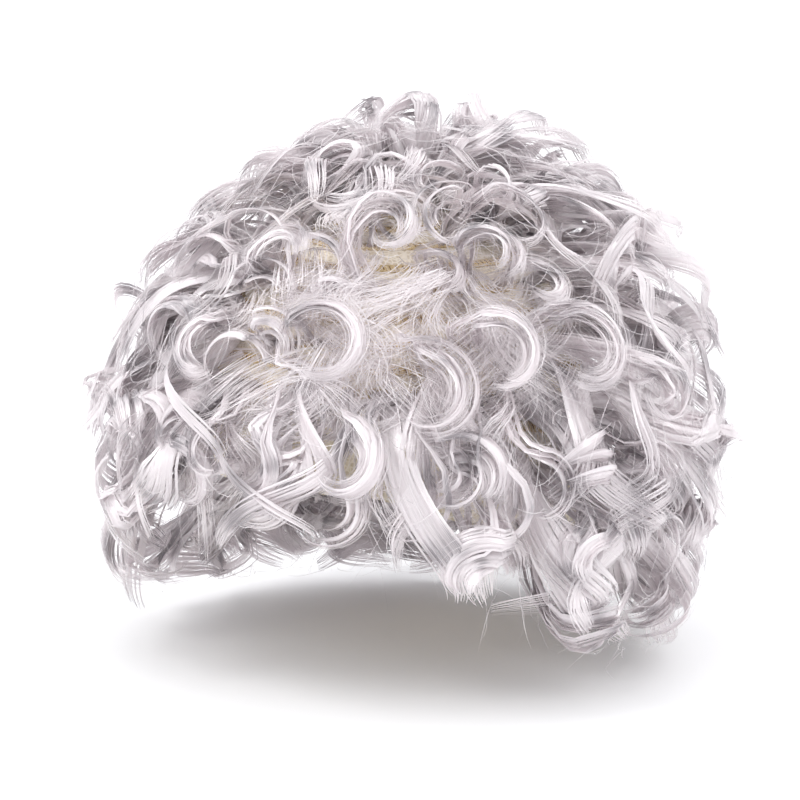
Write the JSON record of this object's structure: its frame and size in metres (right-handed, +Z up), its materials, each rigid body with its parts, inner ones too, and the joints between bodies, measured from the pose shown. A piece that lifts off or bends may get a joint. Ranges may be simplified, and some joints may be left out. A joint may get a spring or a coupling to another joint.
{
  "type": "curly granny wig",
  "caption": "Silver-white curly wig: a hollow net cap worn on the head, with sewn rows of glossy curls from the crown to a short fringe in front and the nape behind.",
  "frame": {"origin": "the point inside the cap that rests on the top of the head", "axes": "+Z up, out of the crown; -Y to the face; +X to the wearer's left"},
  "size_m": [0.291, 0.286, 0.2387],
  "materials": {
    "hair": "glossy silver-white synthetic hair",
    "cap_net": "matt cream stretch net"
  },
  "bodies": {
    "root": {"cap": "cap_net", "crown_curls": "hair", "top_weft": "hair", "upper_weft": "hair", "temple_weft": "hair", "fringe_weft": "hair", "lower_weft": "hair", "nape_weft": "hair"}
  },
  "joints": []
}
